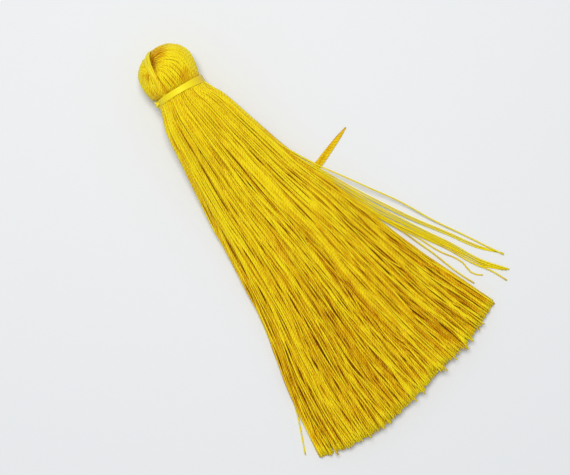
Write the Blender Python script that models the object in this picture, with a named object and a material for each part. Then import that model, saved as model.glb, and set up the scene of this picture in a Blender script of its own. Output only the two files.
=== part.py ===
"""A silk tassel that lies on its side on a flat surface.

One bundle of threads is folded over at the top. The fold is the round head, a floss wound round
the neck binds it, and the cut ends fan out as the skirt. A flat floss lies in the crease between
the head's two lobes.

Metres, +Z up. +X runs from the head to the hem, and +Y is to the right of the skirt as it is seen
from above with the head at the left. The origin is the middle of the flat spot under the head.
The tables are in millimetres.
"""

import cmath
import math
from collections import namedtuple

import bmesh
import bpy
import numpy as np
from mathutils import Vector
from mathutils.geometry import delaunay_2d_cdt

MM = 0.001
SEAT = 0.3 * MM  # between the bundle and what is wound round it

# Head: half an ellipsoid over its middle, and a longer half towards the neck.
HEAD_RADIUS = 6.05 * MM
HEAD_RISE = 5.15 * MM  # from the middle of the head to its top
HEAD_TAIL = 9.0 * MM  # the same for the longer half, which the neck cuts short
HEAD_FLAT = 0.2 * MM  # how much of the round is pressed flat where it rests
HEAD_TURN = math.radians(-8.7)  # the head points a little aside from the skirt's middle
HEAD_COLUMNS = 48
HEAD_RINGS = 18
HEAD_RIDGE = 0.08 * MM  # height of the ridges that the threads raise

# The threads of the head come out of a pinched hollow, which lies on the upper side.
PINCH_ALONG, PINCH_ACROSS = -2.75 * MM, -1.53 * MM
HOLLOW_DEPTH, HOLLOW_WIDTH = 1.7 * MM, 1.25 * MM

# The crease between the lobes lies in an upright plane, left of the head's middle.
CREASE_TURN = math.radians(-12.6)
CREASE_OFFSET = 3.0 * MM
CREASE_DEPTH, CREASE_WIDTH = 0.55 * MM, 1.1 * MM
CREASE_FADE = 2.4 * MM  # it ends over this length before the neck

# Neck: radius at distances along the head's axis from the middle of the head.
NeckSection = namedtuple("NeckSection", "along radius")
NECK_SECTIONS = (
    NeckSection(3.70, 5.51),
    NeckSection(4.05, 5.15),
    NeckSection(4.40, 4.80),
    NeckSection(5.60, 4.75),
    NeckSection(5.95, 4.90),
    NeckSection(6.30, 5.25),
)
NECK = 5.0 * MM  # the middle of the binding, along the head's axis

# Binding: turns of floss side by side, which spread on the right.
BINDING_TURNS = 4
BINDING_HALF_WIDTH = 0.75 * MM
BINDING_SPREAD, SPREAD_SHARPNESS = 0.40 * MM, 1.5
BINDING_THICKNESS, BINDING_GROOVE = 0.35 * MM, 0.16 * MM
BINDING_STEPS = 44
KNOT_AROUND = math.radians(168)
KNOT_ALONG = 0.15 * MM
KNOT_RADII = (0.95 * MM, 0.75 * MM, 0.6 * MM)  # along the neck, round it and out from it
KNOT_SEAT = 0.02 * MM  # its flat back lies this far above the binding's own

# Tie: the flat floss in the crease, from the neck's top over the head to the neck's underside.
TIE_WIDTH, TIE_THICKNESS = 0.85 * MM, 0.35 * MM
TIE_LIFT = 0.45 * MM
TIE_START, TIE_END = math.radians(47), math.radians(309)
TIE_STEPS = 30
TieCorner = namedtuple("TieCorner", "side height")  # shares of half the width and of the thickness
TIE_SECTION = (
    TieCorner(-1, 0.0),
    TieCorner(-1, 0.55),
    TieCorner(-0.45, 1.0),
    TieCorner(0.45, 1.0),
    TieCorner(1, 0.55),
    TieCorner(1, 0.0),
)

# Skirt: its left and right edges and the height of its top, at distances from the neck.
SkirtSection = namedtuple("SkirtSection", "distance left right top")
SKIRT_SECTIONS = (
    SkirtSection(0.0, 5.6, 5.0, 11.2),
    SkirtSection(3.0, 6.9, 5.8, 11.3),
    SkirtSection(6.0, 7.8, 6.7, 11.0),
    SkirtSection(12.0, 9.2, 7.8, 10.1),
    SkirtSection(24.0, 11.9, 10.2, 8.1),
    SkirtSection(36.0, 14.1, 13.3, 6.6),
    SkirtSection(48.0, 16.8, 15.9, 5.4),
    SkirtSection(60.0, 20.7, 19.1, 4.5),
    SkirtSection(72.0, 23.7, 22.9, 3.8),
    SkirtSection(78.0, 24.7, 24.5, 3.6),
)
# Hem: distance from the neck at places across the skirt, from -1 at its left edge to 1 at its right.
HemPoint = namedtuple("HemPoint", "place distance")
HEM = (
    HemPoint(-1.0, 74.8),
    HemPoint(-0.8, 76.2),
    HemPoint(-0.45, 77.6),
    HemPoint(-0.1, 77.1),
    HemPoint(0.25, 75.9),
    HemPoint(0.6, 74.8),
    HemPoint(1.0, 72.3),
)
HEM_UNEVEN = (-0.65 * MM, 0.4 * MM)  # how much shorter or longer than the hem a lock is
TOP_UNEVEN = (-0.1, 0.03)  # the same for the height of an uppermost lock, as a share of the skirt's
SKIRT_CURVE = 0.85  # how much thinner the skirt is at its edges
ROUND_FROM, ROUND_TO = 2.0 * MM, 26.0 * MM  # over this length its round underside turns flat
FAN_FROM = 9.0 * MM  # past here the locks follow the fan alone
ROOT_RADIUS = 5.1 * MM
BENDS = (3.2 * MM, 5.6 * MM, 9.5 * MM, 24.0 * MM, 48.0 * MM)  # where the locks bend, from the neck
UNEVEN_FROM = 24.0 * MM  # the uppermost locks are fully uneven from here

# Layers of locks, from the surface up: share of the skirt's height, and locks side by side.
Layer = namedtuple("Layer", "thickness locks")
LAYERS = (Layer(0.38, 38), Layer(0.32, 42), Layer(0.30, 58))
LOCKS_LEFT, LOCKS_RIGHT = -0.97, 0.935
SIDE_GAP, LAYER_GAP = 0.16, 0.17  # shares of a lock's room
SIDE_SHIFT = 0.3  # how far a lock may lie out of its place, as a share of the gap

# Stray threads leave the right edge in two columns. Each row is where one ends, from the neck, and
# the rows of a column go from its lowest thread to its highest.
ThreadEnd = namedtuple("ThreadEnd", "distance across")
STRAY_COLUMNS = ((0.948, 0.966), (0.972, 0.99))
STRAYS = (
    (ThreadEnd(64.4, 21.9), ThreadEnd(67.4, 24.8), ThreadEnd(68.2, 26.7), ThreadEnd(70.2, 28.4)),
    (ThreadEnd(69.6, 29.2), ThreadEnd(68.9, 29.9), ThreadEnd(66.7, 30.1), ThreadEnd(65.6, 31.0)),
)
STRAY_WIDTH = 0.3 * MM
STRAY_GAP = 0.15  # share of a stray thread's room
LONE_PLACES, LONE_HEIGHTS = (-0.995, -0.98), (0.2, 0.8)
LONE_END = ThreadEnd(72.5, -26.3)
STRAY_HELD, LONE_HELD = 4, 5  # how many of the bends come before a thread leaves the edge
LEAVING_STEPS = 5
FULL_WIDTH_AT = 0.6  # share of its loose length at which a thread has its full width

# Side lock: a flat lock that leaves the skirt from below its right edge.
FlatPoint = namedtuple("FlatPoint", "distance across half_width")
SIDE_LOCK = (
    FlatPoint(9.0, 5.9, 0.55),
    FlatPoint(17.0, 7.4, 0.55),
    FlatPoint(23.5, 9.2, 0.55),
    FlatPoint(26.6, 11.2, 0.55),
    FlatPoint(27.4, 13.6, 0.50),
    FlatPoint(27.0, 16.4, 0.42),
    FlatPoint(26.4, 19.4, 0.30),
    FlatPoint(25.8, 22.2, 0.12),
)
SIDE_LOCK_LOW, SIDE_LOCK_HIGH = 0.02 * MM, 0.34 * MM
SIDE_ROOT_ACROSS, SIDE_ROOT_UP = 3.9 * MM, -1.95 * MM
SIDE_ROOT_WIDTH, SIDE_ROOT_HEIGHT = 0.6 * MM, 0.5 * MM
# The skirt's right edge rises to let it out, by a height in the fan and by a share at the root.
LIFT, ROOT_LIFT = 0.65 * MM, 0.36
LIFT_PLACES, LIFT_FADE = (0.6, 0.72), (30.0 * MM, 40.0 * MM)

SQUARE = ((-1, -1), (1, -1), (1, 1), (-1, 1))
GOLD = (0.72, 0.45, 0.012)
PALE_GOLD = (0.80, 0.58, 0.02)
SEED = 7


def smooth(value, start, end):
    """0 before start, 1 past end, and an even S between them."""
    share = min(max((value - start) / (end - start), 0.0), 1.0)
    return share * share * (3 - 2 * share)


def read_table(table, at, name):
    """The value of a named column of a table, where its first column is at, both in metres."""
    return float(np.interp(at / MM, [row[0] for row in table], [getattr(row, name) for row in table])) * MM


# ---- the head's frame ----

HEAD_MIDDLE = Vector((0, 0, HEAD_RADIUS - HEAD_FLAT))
AXIS = Vector((math.cos(HEAD_TURN), math.sin(HEAD_TURN), 0))
ACROSS = Vector((-math.sin(HEAD_TURN), math.cos(HEAD_TURN), 0))
UP = Vector((0, 0, 1))
NECK_MIDDLE = HEAD_MIDDLE + AXIS * NECK
NECK_EDGE = NECK_SECTIONS[0].along * MM
NECK_POLAR = math.acos(-NECK_EDGE / HEAD_TAIL)
ROOT_PLANE = NECK_SECTIONS[-1].along * MM
ROOT_DISTANCE = ROOT_PLANE - NECK


def in_head(along, across, up):
    """A point given by its distances from the middle of the head."""
    return HEAD_MIDDLE + AXIS * along + ACROSS * across + UP * up


def round_neck(along, radius, around):
    """A point on a circle round the neck. The angle runs from the right over the top."""
    return in_head(along, radius * math.cos(around), radius * math.sin(around))


# ---- head ----

def on_ball(polar, around):
    """Distances along, across and up for an angle from the head's top and an angle round its axis."""
    length = HEAD_RISE if polar < math.pi / 2 else HEAD_TAIL
    reach = HEAD_RADIUS * math.sin(polar)
    return Vector((-length * math.cos(polar), reach * math.cos(around), reach * math.sin(around)))


def flat_map(along, across):
    """The complex number for a point of the ball's upper side. The head's top is 0."""
    polar = math.acos(-along / (HEAD_RISE if along < 0 else HEAD_TAIL))
    around = math.acos(across / (HEAD_RADIUS * math.sin(polar)))
    return cmath.rect(math.tan(polar / 2), around)


def from_map(spot):
    """The point of the ball for a complex number of the flat map."""
    return on_ball(2 * math.atan(abs(spot)), cmath.phase(spot))


PINCH = flat_map(PINCH_ALONG, PINCH_ACROSS)
CREASE_NORMAL = Vector((-math.sin(CREASE_TURN), math.cos(CREASE_TURN), 0))
CREASE_FOOT = CREASE_NORMAL * -CREASE_OFFSET


def dent(point):
    """How far the crease and the hollow sink the head's surface at a point of the ball."""
    off_crease = (point - CREASE_FOOT).dot(CREASE_NORMAL) / CREASE_WIDTH
    off_pinch = (point - from_map(PINCH)).length / HOLLOW_WIDTH
    crease = CREASE_DEPTH * math.exp(-off_crease**2)
    crease *= 1 - smooth(point.x, NECK_EDGE - CREASE_FADE, NECK_EDGE)
    return crease + HOLLOW_DEPTH * math.exp(-off_pinch**2)


def head_point(around, share):
    """A point of the head on the thread that meets the neck at the angle around.

    share runs from 0 at the pinch to 1 at the neck. On the flat map the thread is a straight line,
    so on the ball it is an arc through the pinch.
    """
    edge = math.tan(NECK_POLAR / 2)
    grown = math.tan(share * NECK_POLAR / 2) / edge
    point = from_map(PINCH + (cmath.rect(edge, around) - PINCH) * grown)
    return in_head(*(point - point.normalized() * dent(point)))


def head_rings():
    """Rings of points from the pinch to the root of the skirt. Every second column is a ridge."""
    angles = [2 * math.pi * i / HEAD_COLUMNS for i in range(HEAD_COLUMNS)]
    rings = []
    for n in range(1, HEAD_RINGS + 1):
        share = n / HEAD_RINGS
        ring = []
        for i, around in enumerate(angles):
            point = head_point(around, share)
            ridge = HEAD_RIDGE * (1 if i % 2 else -1) * math.sin(math.pi * share)
            point += (point - HEAD_MIDDLE).normalized() * ridge
            point.z = max(point.z, 0.0)
            ring.append(point)
        rings.append(ring)
    for section in NECK_SECTIONS[1:]:
        rings.append([round_neck(section.along * MM, section.radius * MM, around) for around in angles])
    return rings


# ---- skirt ----

def fan_point(distance, place, height):
    """A point of the fanned skirt, at a distance from the neck.

    place runs from -1 at the left edge to 1 at the right, and height from 0 at the underside to 1 at
    the top. Across the skirt the top follows an ellipse. The underside is round near the neck and
    flat further on.
    """
    left = read_table(SKIRT_SECTIONS, distance, "left")
    right = read_table(SKIRT_SECTIONS, distance, "right")
    top = read_table(SKIRT_SECTIONS, distance, "top")
    across = (right - left) / 2 + place * (right + left) / 2
    bulge = math.sqrt(1 - SKIRT_CURVE * place * place)
    rounded = 1 - smooth(distance, ROUND_FROM, ROUND_TO)
    high = top * ((1 - rounded) * bulge + rounded * (1 + bulge) / 2)
    low = top * rounded * (1 - bulge) / 2
    low += LIFT * smooth(place, *LIFT_PLACES) * (1 - smooth(distance, *LIFT_FADE))
    return Vector((NECK_MIDDLE.x + distance, NECK_MIDDLE.y + across, low + (high - low) * height))


def root_point(distance, place, height):
    """A point of the round bundle, carried straight on past its root."""
    across = ROOT_RADIUS * place
    half = math.sqrt(ROOT_RADIUS**2 - across**2)
    free = ROOT_LIFT * smooth(place, *LIFT_PLACES)
    return in_head(ROOT_PLANE + distance, across, half * (2 * (free + (1 - free) * height) - 1))


def skirt_point(distance, place, height):
    """Between the round root and the fan, a point moves evenly from the one to the other."""
    share = smooth(distance, ROOT_DISTANCE, FAN_FROM)
    if share == 0:
        return root_point(0.0, place, height)
    return root_point(distance - ROOT_DISTANCE, place, height).lerp(fan_point(distance, place, height), share)


def room_at(distance, places, heights):
    """The four corners of a lock's room at a distance from the neck."""
    (left, right), (low, high) = places, heights
    corners = ((left, low), (right, low), (right, high), (left, high))
    return [skirt_point(distance, *corner) for corner in corners]


def lock_rings(places, heights, end, uneven):
    """The rings of one lock, from its root to its cut end."""
    rings = []
    for distance in (ROOT_DISTANCE, *BENDS, end):
        high = heights[1] + uneven * smooth(distance, 0.0, UNEVEN_FROM)
        rings.append(room_at(distance, places, (heights[0], high)))
    return rings


def fan_locks(rng):
    """Rings of every lock in the skirt, layer by layer."""
    locks = []
    floor = 0.0
    for layer in LAYERS:
        low = floor + (LAYER_GAP * layer.thickness if floor else 0)
        floor += layer.thickness
        room = (LOCKS_RIGHT - LOCKS_LEFT) / layer.locks
        gap = room * SIDE_GAP
        for i in range(layer.locks):
            left = LOCKS_LEFT + room * i + gap * (0.5 + rng.uniform(-SIDE_SHIFT, SIDE_SHIFT))
            end = read_hem(LOCKS_LEFT + room * (i + 0.5)) + rng.uniform(*HEM_UNEVEN)
            uneven = rng.uniform(*TOP_UNEVEN) if layer is LAYERS[-1] else 0.0
            locks.append(lock_rings((left, left + room - gap), (low, floor), end, uneven))
    return locks


def read_hem(place):
    return float(np.interp(place, [point.place for point in HEM], [point.distance for point in HEM])) * MM


def free_thread(places, heights, end, held_bends):
    """The rings of a thread that leaves the skirt's edge at a bend, and ends on the floor."""
    reach = end.distance * MM
    leaves = BENDS[held_bends - 1]
    rings = [room_at(distance, places, heights) for distance in (ROOT_DISTANCE, *BENDS[:held_bends])]
    edge = sum(room_at(reach, places, heights), Vector()) / 4
    aside = NECK_MIDDLE.y + end.across * MM - edge.y
    for i in range(1, LEAVING_STEPS + 1):
        share = i / LEAVING_STEPS
        held = room_at(leaves + (reach - leaves) * share, places, heights)
        middle = sum(held, Vector()) / 4
        middle.y += aside * share
        middle.z += (STRAY_WIDTH / 2 - middle.z) * smooth(share, 0.0, 1.0)
        grown = smooth(share, 0.0, FULL_WIDTH_AT)
        width = (held[1].y - held[0].y) * (1 - grown) + STRAY_WIDTH * grown
        height = (held[2].z - held[1].z) * (1 - grown) + STRAY_WIDTH * grown
        rings.append([middle + Vector((0, width * a / 2, height * b / 2)) for a, b in SQUARE])
    return rings


def stray_threads():
    """The threads that leave the right edge. The lowest stay nearest to the skirt."""
    threads = []
    for places, ends in zip(STRAY_COLUMNS, STRAYS):
        room = 1 / len(ends)
        for i, end in enumerate(ends):
            heights = (room * (i + STRAY_GAP), room * (i + 1 - STRAY_GAP))
            threads.append(free_thread(places, heights, end, STRAY_HELD))
    return threads


def side_lock():
    """The rings of the flat lock that runs below the right edge and bends out to the side."""
    half, thick = SIDE_ROOT_WIDTH / 2, SIDE_ROOT_HEIGHT / 2
    rings = [
        [in_head(ROOT_PLANE, SIDE_ROOT_ACROSS + half * a, SIDE_ROOT_UP + thick * b) for a, b in SQUARE]
    ]
    middles = [NECK_MIDDLE + Vector((point.distance, point.across, 0)) * MM for point in SIDE_LOCK]
    for i, middle in enumerate(middles):
        heading = middles[min(i + 1, len(middles) - 1)] - (middles[i - 1] if i else rings[0][0])
        heading.z = 0
        sideways = UP.cross(heading.normalized()) * SIDE_LOCK[i].half_width * MM
        ring = []
        for a, b in SQUARE:
            corner = middle + sideways * a
            corner.z = SIDE_LOCK_HIGH if b > 0 else SIDE_LOCK_LOW
            ring.append(corner)
        rings.append(ring)
    return rings


# ---- meshes ----

def join_rings(bm, first, second):
    for i in range(len(first)):
        j = (i + 1) % len(first)
        bm.faces.new((first[i], first[j], second[j], second[i]))


def add_rings(bm, rings):
    """Adds rings of points, joined each to the next, and returns the rings of vertices."""
    made = [[bm.verts.new(point) for point in ring] for ring in rings]
    for first, second in zip(made, made[1:]):
        join_rings(bm, first, second)
    return made


def fill_between(bm, rim, roots):
    """Fills the root plane inside the rim, apart from the roots of the locks."""
    vertices = []
    edges = []
    root_of = []
    for n, loop in enumerate([rim, *roots]):
        first = len(vertices)
        edges += [(first + i, first + (i + 1) % len(loop)) for i in range(len(loop))]
        vertices += loop
        root_of += [n] * len(loop)
    flat = [Vector(((v.co - HEAD_MIDDLE).dot(ACROSS), (v.co - HEAD_MIDDLE).dot(UP))) / MM for v in vertices]
    faces = delaunay_2d_cdt(flat, edges, [], 0, 1e-7)[2]
    for face in faces:
        touched = {root_of[i] for i in face}
        if len(touched) > 1 or touched == {0}:
            bm.faces.new([vertices[i] for i in face])


def material(name, colour, roughness):
    made = bpy.data.materials.new(name)
    made.use_nodes = True
    shader = made.node_tree.nodes["Principled BSDF"]
    shader.inputs["Base Color"].default_value = (*colour, 1)
    shader.inputs["Roughness"].default_value = roughness
    shader.inputs["Metallic"].default_value = 0
    return made


def add_object(name, bm, finish=None):
    """Turns a closed bmesh into an object with its faces pointing out, shaded smooth."""
    bmesh.ops.recalc_face_normals(bm, faces=bm.faces)
    mesh = bpy.data.meshes.new(name)
    bm.to_mesh(mesh)
    bm.free()
    mesh.shade_smooth()
    mesh.set_sharp_from_angle(angle=math.radians(55))
    if finish:
        mesh.materials.append(finish)
    made = bpy.data.objects.new(name, mesh)
    bpy.context.scene.collection.objects.link(made)
    return made


def thread_bundle(finish):
    """Head, neck and skirt: one bundle, so one solid."""
    bm = bmesh.new()
    rings = add_rings(bm, head_rings())
    pinch = bm.verts.new(head_point(0, 0))
    for i, vertex in enumerate(rings[0]):
        bm.faces.new((pinch, vertex, rings[0][i - 1]))
    strands = fan_locks(np.random.default_rng(SEED)) + stray_threads()
    strands.append(free_thread(LONE_PLACES, LONE_HEIGHTS, LONE_END, LONE_HELD))
    strands.append(side_lock())
    roots = []
    for strand in strands:
        made = add_rings(bm, strand)
        bm.faces.new(made[-1])
        roots.append(made[0])
    fill_between(bm, rings[-1], roots)
    return add_object("thread_bundle", bm, finish)


def binding_section(around):
    """Points across the binding at an angle round the neck: up over its turns and back below them."""
    half = BINDING_HALF_WIDTH + BINDING_SPREAD * max(math.cos(around), 0) ** SPREAD_SHARPNESS
    outer = []
    inner = []
    for i in range(2 * BINDING_TURNS + 1):
        along = NECK + half * (i / BINDING_TURNS - 1)
        seat = read_table(NECK_SECTIONS, along, "radius") + SEAT
        thickness = BINDING_THICKNESS - (0 if i % 2 else BINDING_GROOVE)
        outer.append(round_neck(along, seat + thickness, around))
        if i % 2 == 0:
            inner.append(round_neck(along, seat, around))
    return outer + inner[::-1]


def neck_binding(finish):
    bm = bmesh.new()
    made = add_rings(bm, [binding_section(2 * math.pi * i / BINDING_STEPS) for i in range(BINDING_STEPS)])
    join_rings(bm, made[-1], made[0])
    ring = add_object("neck_binding", bm, finish)
    union = ring.modifiers.new("Knot", "BOOLEAN")
    union.operation = "UNION"
    union.object = knot()
    return ring


def knot():
    """The knot of the binding: a small round lump with a flat back, for a union with the turns."""
    bm = bmesh.new()
    bmesh.ops.create_icosphere(bm, subdivisions=2, radius=1.0)
    seat = read_table(NECK_SECTIONS, NECK, "radius") + SEAT
    outward = ACROSS * math.cos(KNOT_AROUND) + UP * math.sin(KNOT_AROUND)
    directions = (AXIS, AXIS.cross(outward), outward)
    middle = round_neck(NECK + KNOT_ALONG, seat + BINDING_THICKNESS, KNOT_AROUND)
    for vertex in bm.verts:
        reaches = [way * share * radius for way, share, radius in zip(directions, vertex.co, KNOT_RADII)]
        point = middle + sum(reaches, Vector())
        height = (point - NECK_MIDDLE).dot(outward)
        vertex.co = point + outward * max(seat + KNOT_SEAT - height, 0)
    made = add_object("knot", bm)
    made.hide_render = True
    made.display_type = "WIRE"
    return made


def crease_point(turn):
    """A point of the ball in the crease's plane, and the way out to it.

    The angle turns in that plane from the neck's side over the top. The point is where the way out
    from the crease's foot meets the ball.
    """
    ray = Vector((math.cos(CREASE_TURN), math.sin(CREASE_TURN), 0)) * math.cos(turn) + UP * math.sin(turn)
    length = HEAD_TAIL if ray.x > 0 else HEAD_RISE
    scale = Vector((1 / length, 1 / HEAD_RADIUS, 1 / HEAD_RADIUS))
    foot = CREASE_FOOT * scale
    step = ray * scale
    reach = -foot.dot(step) + math.sqrt(foot.dot(step) ** 2 - step.dot(step) * (foot.dot(foot) - 1))
    return CREASE_FOOT + ray * reach / step.dot(step), ray


def head_tie(finish):
    """The flat floss in the crease: a strip with a rounded outer side."""
    rings = []
    for i in range(TIE_STEPS + 1):
        point, out = crease_point(TIE_START + (TIE_END - TIE_START) * i / TIE_STEPS)
        ring = []
        for corner in TIE_SECTION:
            rise = TIE_LIFT - dent(point) + TIE_THICKNESS * corner.height
            ring.append(in_head(*(point + CREASE_NORMAL * corner.side * TIE_WIDTH / 2 + out * rise)))
        rings.append(ring)
    bm = bmesh.new()
    made = add_rings(bm, rings)
    bm.faces.new(made[0])
    bm.faces.new(made[-1])
    return add_object("head_tie", bm, finish)


def main():
    for old in list(bpy.data.objects):
        bpy.data.objects.remove(old)
    silk = material("silk_threads", GOLD, 0.42)
    floss = material("silk_floss", PALE_GOLD, 0.3)
    thread_bundle(silk)
    neck_binding(floss)
    head_tie(floss)


main()
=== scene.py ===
import math

import bpy
import numpy as np
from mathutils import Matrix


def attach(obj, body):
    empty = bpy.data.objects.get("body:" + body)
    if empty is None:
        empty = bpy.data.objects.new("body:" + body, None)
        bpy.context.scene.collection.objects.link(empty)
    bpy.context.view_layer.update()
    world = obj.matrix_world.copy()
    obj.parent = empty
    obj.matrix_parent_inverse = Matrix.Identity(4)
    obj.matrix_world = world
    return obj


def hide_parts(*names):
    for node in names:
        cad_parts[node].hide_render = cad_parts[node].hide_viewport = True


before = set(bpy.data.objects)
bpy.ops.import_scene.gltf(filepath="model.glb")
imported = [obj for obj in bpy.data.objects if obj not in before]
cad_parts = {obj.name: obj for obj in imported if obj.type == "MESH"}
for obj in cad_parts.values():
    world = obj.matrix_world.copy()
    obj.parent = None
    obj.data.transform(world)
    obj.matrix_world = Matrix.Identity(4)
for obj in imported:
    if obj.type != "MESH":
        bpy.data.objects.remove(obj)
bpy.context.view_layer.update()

# A silk tassel on its side, thread by thread. Distances in the dictionaries are millimetres.
# +X runs from the head to the hem, +Y to the right of the skirt, +Z up from the surface.
mm = 0.001
print("frame loaded:", sorted(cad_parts))


# numbers and curves

def smooth(value, start, end):  # 0 before start, 1 past end, an even S between them
    share = np.clip((value - start) / (end - start), 0.0, 1.0)
    return share * share * (3 - 2 * share)


def unit(vectors):
    return vectors / np.maximum(np.linalg.norm(vectors, axis=-1, keepdims=True), 1e-9)


def mix(first, second, share):
    return first + (second - first) * share


def curveThrough(at, stops, values):
    # A smooth curve through values at stops: between two stops, a cubic whose slopes are those of the
    # chords round each stop. values may have more axes, and at may have any shape if they don't.
    stops, values = np.asarray(stops, float), np.asarray(values, float)
    slopes = np.gradient(values, stops, axis=0)
    at = np.asarray(at, float)
    i = np.clip(np.searchsorted(stops, at, side="right") - 1, 0, len(stops) - 2)
    gap = stops[i + 1] - stops[i]
    t = np.clip((at - stops[i]) / gap, 0.0, 1.0)
    t, gap = (v.reshape(v.shape + (1,) * (values.ndim - 1)) for v in (t, gap))
    return (
        values[i] * (1 + 2 * t) * (1 - t) ** 2 + slopes[i] * gap * t * (1 - t) ** 2
        + values[i + 1] * t * t * (3 - 2 * t) + slopes[i + 1] * gap * t * t * (t - 1)
    )


def ripple(rng, at, shortest, longest, count=4):
    # A gentle random line: a mean of sines of random lengths and starts, about 1 high. at has one row
    # for each thread, and every thread gets its own line.
    lengths = rng.uniform(shortest, longest, (count, at.shape[0], 1))
    starts = rng.uniform(0, 2 * math.pi, (count, at.shape[0], 1))
    return np.sin(2 * math.pi * at[None] / lengths + starts).sum(axis=0) / math.sqrt(count / 2)


def field(rng, at, shortest, longest, count=9):
    # The same line for all: a mean of sines, read at any numbers.
    lengths, starts = rng.uniform(shortest, longest, count), rng.uniform(0, 2 * math.pi, count)
    return sum(np.sin(2 * math.pi * at / a + b) for a, b in zip(lengths, starts)) / math.sqrt(count / 2)


# meshes

def sweep(paths, outward, halfWidth, halfHeight, sides, shade, tint, profile=None, between=0.0):
    # Threads along paths. Round each point stands a closed profile, square to the path:
    # point + aside * halfWidth * cos(angle) + lift * halfHeight * sin(angle), where lift is the outward
    # direction made square to the path, and aside is square to both. Ends are closed. The painted shade
    # grows by between on the two sides, where a thread touches the threads beside it and shade falls. Of
    # the two UV maps, one has the length along the thread in metres, or -1 on a cut end, and the share of a
    # turn round it.
    count, rings = paths.shape[:2]
    heading = unit(np.gradient(paths, axis=1))
    aside = unit(np.cross(heading, np.broadcast_to(outward, paths.shape)))
    lift = np.cross(aside, heading)
    angle = 2 * math.pi * np.arange(sides) / sides
    touching = np.maximum(2 * np.abs(np.cos(angle)) - 1, 0)
    reach = np.ones(sides) if profile is None else profile
    halfWidth = np.broadcast_to(halfWidth, (count, rings))[..., None]
    halfHeight = np.broadcast_to(halfHeight, (count, rings))[..., None]
    points = (
        paths[:, :, None] + aside[:, :, None] * (halfWidth * np.cos(angle) * reach)[..., None]
        + lift[:, :, None] * (halfHeight * np.sin(angle) * reach)[..., None]
    )
    first = (np.arange(count) * rings * sides)[:, None, None]
    n, s = np.arange(rings - 1)[None, :, None], np.arange(sides)[None, None]
    low, high = first + n * sides, first + (n + 1) * sides
    s, following = s + 0 * low, (s + 1) % sides + 0 * low
    walls = np.stack([low + s, high + s, high + following, low + following], -1).reshape(-1, 4)
    run = np.concatenate([np.zeros((count, 1)), np.cumsum(
        np.linalg.norm(np.diff(paths, axis=1), axis=-1), axis=1)], axis=1) * mm
    ends = np.array([(0, j, j + 1, j + 2) for j in range(1, sides - 2, 2)])
    caps = [(first[:, 0] + ends.ravel()).reshape(-1, 4),
            (first[:, 0] + (rings - 1) * sides + ends[:, ::-1].ravel()).reshape(-1, 4)]

    def corners(alongs, arounds):  # maps of all walls, corner by corner
        before, after = alongs[:, :-1, None], alongs[:, 1:, None]
        near, far = arounds(s), arounds(s + 1)
        values = [np.broadcast_to(v, s.shape) for v in (before, after, after, before, near, near, far, far)]
        return np.stack(values, -1).reshape(-1, 2, 4).transpose(0, 2, 1)

    row = np.arange(count)[:, None, None]
    spread = np.broadcast_to(0.01 + 0.98 * np.arange(rings) / (rings - 1), (count, rings))
    bakeMap = [corners(spread, lambda k: (row + 0.06 + 0.88 * k / sides) / count)]
    threadMap = [corners(run, lambda k: k / sides)]
    for cap, place in ((ends, 0.005), (ends[:, ::-1], 0.995)):
        turned = 2 * math.pi * cap / sides
        flat = np.broadcast_arrays(
            place + 0.004 * np.cos(turned)[None], (row + 0.5 + 0.4 * np.sin(turned)[None]) / count)
        bakeMap.append(np.stack(flat, -1).reshape(-1, 4, 2))
        marked = np.broadcast_arrays(np.full((count, 1, 1), -1.0), (cap / sides)[None])  # a cut end
        threadMap.append(np.stack(marked, -1).reshape(-1, 4, 2))
    shade = np.broadcast_to(shade, (count, rings))[..., None] + touching * between
    tint = np.asarray(tint, float).reshape(-1, 1, 1)
    return dict(
        points=points.reshape(-1, 3), faces=np.concatenate([walls, *caps]),
        bakeMap=np.concatenate(bakeMap), threadMap=np.concatenate(threadMap),
        shade=shade.ravel(), tint=np.broadcast_to(tint, (count, rings, sides)).ravel(),
    )


def addPiece(name, swept, material, node):
    # Puts swept threads into one mesh. Several sets share the bake map as bands, one above the other.
    sets = swept if isinstance(swept, list) else [swept]
    rows = np.array([len(part["faces"]) for part in sets], float)
    tops = np.concatenate([[0], np.cumsum(rows / rows.sum())])
    starts = np.concatenate([[0], np.cumsum([len(part["points"]) for part in sets])])
    points = np.concatenate([part["points"] for part in sets]) * mm
    faces = np.concatenate([part["faces"] + start for part, start in zip(sets, starts)])
    bakeMap = np.concatenate([
        part["bakeMap"] * (1, high - low) + (0, low) for part, low, high in zip(sets, tops, tops[1:])])
    mesh = bpy.data.meshes.new(name)
    mesh.vertices.add(len(points))
    mesh.vertices.foreach_set("co", points.astype(np.float32).ravel())
    mesh.loops.add(faces.size)
    mesh.loops.foreach_set("vertex_index", faces.astype(np.int32).ravel())
    mesh.polygons.add(len(faces))
    mesh.polygons.foreach_set("loop_start", np.arange(0, faces.size, 4, dtype=np.int32))
    mesh.update(calc_edges=True)
    for title, values in (("OFBake", bakeMap), ("threadMap", np.concatenate(
            [part["threadMap"] for part in sets]))):
        layer = mesh.uv_layers.new(name=title)
        layer.data.foreach_set("uv", values.astype(np.float32).ravel())
    for title in ("shade", "tint"):
        values = mesh.attributes.new(title, "FLOAT", "POINT")
        values.data.foreach_set(
            "value", np.concatenate([part[title] for part in sets]).astype(np.float32))
    mesh.shade_smooth()
    mesh.materials.append(material)
    piece = bpy.data.objects.new(name, mesh)
    bpy.context.scene.collection.objects.link(piece)
    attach(piece, "root")
    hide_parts(node)
    print(f"{name}: {2 * len(faces)} triangles")
    return piece


# shader maths

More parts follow.
